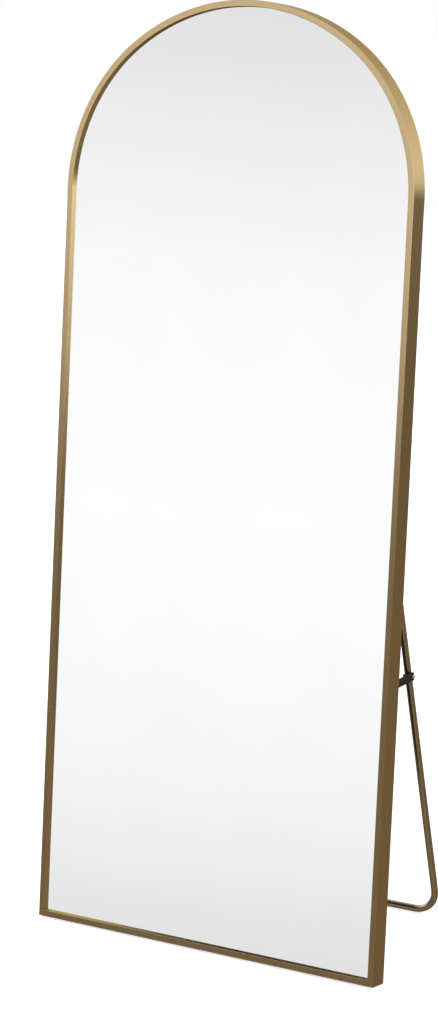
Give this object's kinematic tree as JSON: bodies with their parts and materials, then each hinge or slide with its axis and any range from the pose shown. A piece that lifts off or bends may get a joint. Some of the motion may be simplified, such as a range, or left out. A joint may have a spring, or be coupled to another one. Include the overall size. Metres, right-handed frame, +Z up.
{
  "type": "floor mirror",
  "caption": "Full-length arched floor mirror in a slim brushed metal frame, leaning back on a folding U-shaped tube stand that hook stays hold open.",
  "frame": {"origin": "middle of the box round the standing mirror, on the floor", "axes": "+Z up, +X to the right seen from the front, +Y from the mirror towards its stand"},
  "size_m": [0.762, 0.4478, 1.776],
  "materials": {
    "frame_metal": "brushed, brass tone",
    "mirror_glass": "silvered glass",
    "safety_film": "film",
    "foam": "foamed sheet",
    "backing_board": "dark faced fibreboard",
    "rail_metal": "mill finish",
    "stand_metal": "satin, brass tone",
    "black_metal": "satin black",
    "zinc_steel": "zinc plated",
    "fastener_steel": "bright zinc",
    "nylon": "moulded",
    "black_plastic": "moulded",
    "rubber": "matt"
  },
  "bodies": {
    "mirror": {"backing_board": "backing_board", "bottom_rail": "frame_metal", "corner_key_left": "zinc_steel", "corner_key_right": "zinc_steel", "corner_screws": "fastener_steel", "cross_rail_screws": "fastener_steel", "foam_sheet": "foam", "foot_pad_left": "rubber", "foot_pad_right": "rubber", "frame_arch": "frame_metal", "hinge_bolt_left": "fastener_steel", "hinge_bolt_right": "fastener_steel", "hinge_bracket_left": "black_metal", "hinge_bracket_right": "black_metal", "hinge_bracket_screws": "fastener_steel", "hinge_nuts": "fastener_steel", "lower_cross_rail": "rail_metal", "mirror_glass": "mirror_glass", "safety_film": "safety_film", "stay_bracket_left": "black_metal", "stay_bracket_right": "black_metal", "stay_bracket_screws": "fastener_steel", "stay_pivot_left": "fastener_steel", "stay_pivot_nuts": "fastener_steel", "stay_pivot_right": "fastener_steel", "upper_cross_rail": "rail_metal", "wall_hanger_left": "zinc_steel", "wall_hanger_right": "zinc_steel", "wall_hanger_screws": "fastener_steel"},
    "stand": {"hinge_bush_left": "nylon", "hinge_bush_right": "nylon", "hook_stud_left": "fastener_steel", "hook_stud_right": "fastener_steel", "stand_tube": "stand_metal", "stud_nuts": "fastener_steel", "tube_cap_left": "black_plastic", "tube_cap_right": "black_plastic"},
    "stay_left": {"stay_left": "black_metal"},
    "stay_right": {"stay_right": "black_metal"}
  },
  "joints": [
    {"name": "stand_hinge", "type": "hinge", "parent": "mirror", "child": "stand", "pos_m": [0, -0.07724, 1.17808], "axis": [1, 0, 0], "range_deg": [-18.8, 0]},
    {"name": "stay_left_pivot", "type": "hinge", "parent": "mirror", "child": "stay_left", "pos_m": [-0.278, -0.15416, 0.49572], "axis": [1, 0, 0], "range_deg": [0, 82]},
    {"name": "stay_right_pivot", "type": "hinge", "parent": "mirror", "child": "stay_right", "pos_m": [0.278, -0.15416, 0.49572], "axis": [1, 0, 0], "range_deg": [0, 82]}
  ],
  "couplings": [
    {"joint": "stay_left_pivot", "follows": "stand_hinge", "ratio": -4.3617},
    {"joint": "stay_right_pivot", "follows": "stand_hinge", "ratio": -4.3617}
  ]
}
